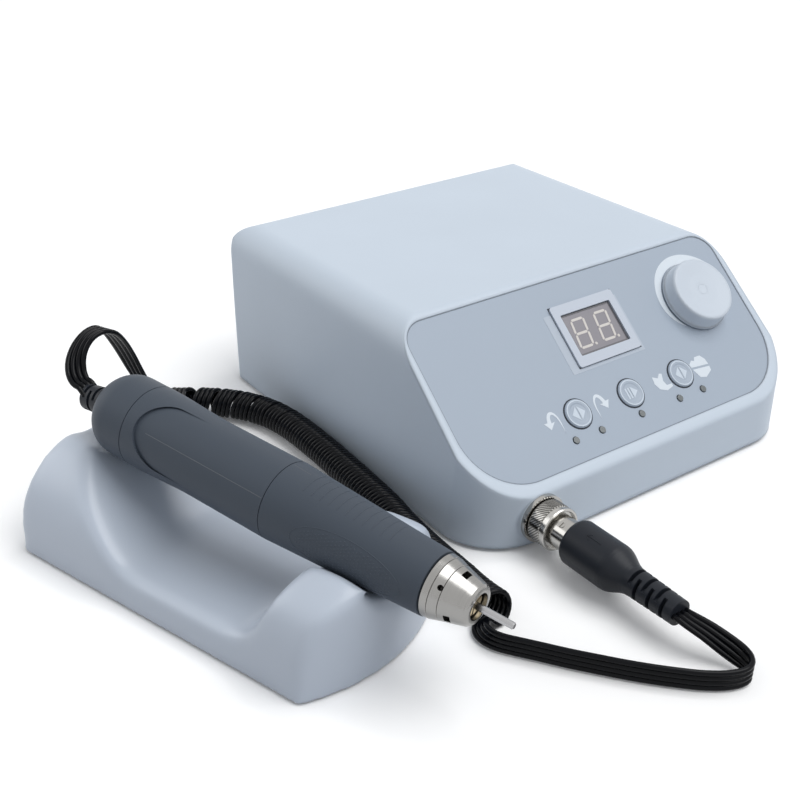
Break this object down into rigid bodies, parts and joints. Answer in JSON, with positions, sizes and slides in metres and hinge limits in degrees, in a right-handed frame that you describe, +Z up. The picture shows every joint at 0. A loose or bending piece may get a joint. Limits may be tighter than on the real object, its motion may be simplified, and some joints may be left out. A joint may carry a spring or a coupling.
{
  "type": "dental laboratory micromotor set",
  "caption": "Sloped-panel speed control unit with display, buttons and knob, joined by a curly flat cord to a motor handpiece that rests on a two-horned cradle.",
  "frame": {"origin": "middle of the footprint on the table, cord and plug apart", "axes": "+X to the right of the control unit seen from its panel, +Y to its rear wall, +Z up"},
  "size_m": [0.3027, 0.2856, 0.074],
  "materials": {
    "case_plastic": "satin",
    "panel_film": "satin",
    "bezel_plastic": "satin",
    "button_plastic": "satin",
    "knob_plastic": "satin",
    "display_face": "gloss",
    "display_segment": "satin",
    "lamp_lens": "gloss",
    "black_plastic": "satin",
    "grip_plastic": "soft touch",
    "rubber": "matt",
    "cord_sheath": "satin",
    "bright_steel": "turned",
    "nickel": "satin",
    "alloy": "satin",
    "brass": "satin",
    "core_steel": "varnished",
    "circuit_board": "satin",
    "winding_tape": "satin",
    "can_sleeve": "gloss",
    "carbon": "matt",
    "base_metal": "satin"
  },
  "bodies": {
    "set": {"upper_case": "case_plastic", "base_plate": "base_metal", "rubber_feet": "rubber", "base_screws": "bright_steel", "front_overlay": "panel_film", "display_bezel": "bezel_plastic", "display_module": "display_face", "display_segments": "display_segment", "indicator_lamps": "lamp_lens", "control_board": "circuit_board", "board_screws": "bright_steel", "tact_switches": "black_plastic", "speed_pot": "alloy", "pot_nut": "nickel", "driver_board": "circuit_board", "board_spacers": "brass", "heat_sink": "alloy", "smoothing_capacitors": "can_sleeve", "transformer_core": "core_steel", "transformer_winding": "winding_tape", "motor_socket": "nickel", "socket_nut": "nickel", "power_inlet": "black_plastic", "inlet_pins": "brass", "power_switch": "black_plastic", "foot_socket": "black_plastic", "foot_socket_nut": "nickel", "plug_shell": "nickel", "plug_insert": "black_plastic", "plug_screw": "bright_steel", "plug_boot": "rubber", "cord_lead_front": "cord_sheath", "cord_coil": "cord_sheath", "cord_lead_rear": "cord_sheath", "cradle_body": "case_plastic", "cradle_pad": "rubber"},
    "knob": {"pot_shaft": "bright_steel", "speed_knob": "knob_plastic"},
    "button_direction": {"direction_button": "button_plastic"},
    "button_standby": {"standby_button": "button_plastic"},
    "button_mode": {"mode_button": "button_plastic"},
    "rocker": {"power_rocker": "black_plastic"},
    "ring": {"coupling_ring": "nickel"},
    "handpiece": {"cord_bush": "rubber", "motor_case": "grip_plastic", "magnets": "core_steel", "brush_plate": "black_plastic", "carbon_brushes": "carbon", "motor_bearings": "bright_steel", "spindle_housing": "alloy", "spindle_bearings": "bright_steel", "nose_cone": "bright_steel"},
    "cap": {"rear_cap": "grip_plastic"},
    "grip": {"chuck_cam": "alloy", "front_grip": "grip_plastic"},
    "shaft": {"commutator": "brass", "rotor": "core_steel", "spindle": "bright_steel"},
    "chuck": {"collet": "brass"},
    "tool": {"tool_shank": "bright_steel"}
  },
  "joints": [
    {"name": "speed_knob_turn", "type": "hinge", "parent": "set", "child": "knob", "pos_m": [0.1219, -0.02448, 0.05529], "axis": [0, -0.6561, 0.7547], "range_deg": [-300, 0]},
    {"name": "direction_press", "type": "slide", "parent": "set", "child": "button_direction", "axis": [0, 0.6561, -0.7547], "range_m": [0, 0.0006], "stiffness_N_per_m": 400},
    {"name": "standby_press", "type": "slide", "parent": "set", "child": "button_standby", "axis": [0, 0.6561, -0.7547], "range_m": [0, 0.0006], "stiffness_N_per_m": 400},
    {"name": "mode_press", "type": "slide", "parent": "set", "child": "button_mode", "axis": [0, 0.6561, -0.7547], "range_m": [0, 0.0006], "stiffness_N_per_m": 400},
    {"name": "power_rock", "type": "hinge", "parent": "set", "child": "rocker", "pos_m": [0.06491, 0.12015, 0.03], "axis": [1, 0, 0], "range_deg": [0, 16]},
    {"name": "coupling_turn", "type": "hinge", "parent": "set", "child": "ring", "pos_m": [0.00541, -0.06935, 0.012], "axis": [0, -1, 0], "continuous": true},
    {"name": "handpiece_lift", "type": "slide", "parent": "set", "child": "handpiece", "axis": [0, 0, 1], "range_m": [0, 0.06], "deforming": ["cord_lead_rear"]},
    {"name": "rear_cap_turn", "type": "hinge", "parent": "handpiece", "child": "cap", "pos_m": [-0.10938, 0.02849, 0.05034], "axis": [0.2961, -0.9505, -0.0941], "range_deg": [0, 45]},
    {"name": "chuck_twist", "type": "hinge", "parent": "handpiece", "child": "grip", "pos_m": [-0.07859, -0.07037, 0.04055], "axis": [0.2961, -0.9505, -0.0941], "range_deg": [0, 60]},
    {"name": "spindle_spin", "type": "hinge", "parent": "handpiece", "child": "shaft", "pos_m": [-0.08866, -0.03805, 0.04375], "axis": [0.2961, -0.9505, -0.0941], "continuous": true},
    {"name": "collet_open", "type": "slide", "parent": "shaft", "child": "chuck", "axis": [0.2961, -0.9505, -0.0941], "range_m": [0, 0.001]},
    {"name": "tool_pull", "type": "slide", "parent": "chuck", "child": "tool", "axis": [0.2961, -0.9505, -0.0941], "range_m": [0, 0.03]}
  ],
  "couplings": [
    {"joint": "chuck_twist", "follows": "collet_open", "rad_per_m": 1045}
  ]
}
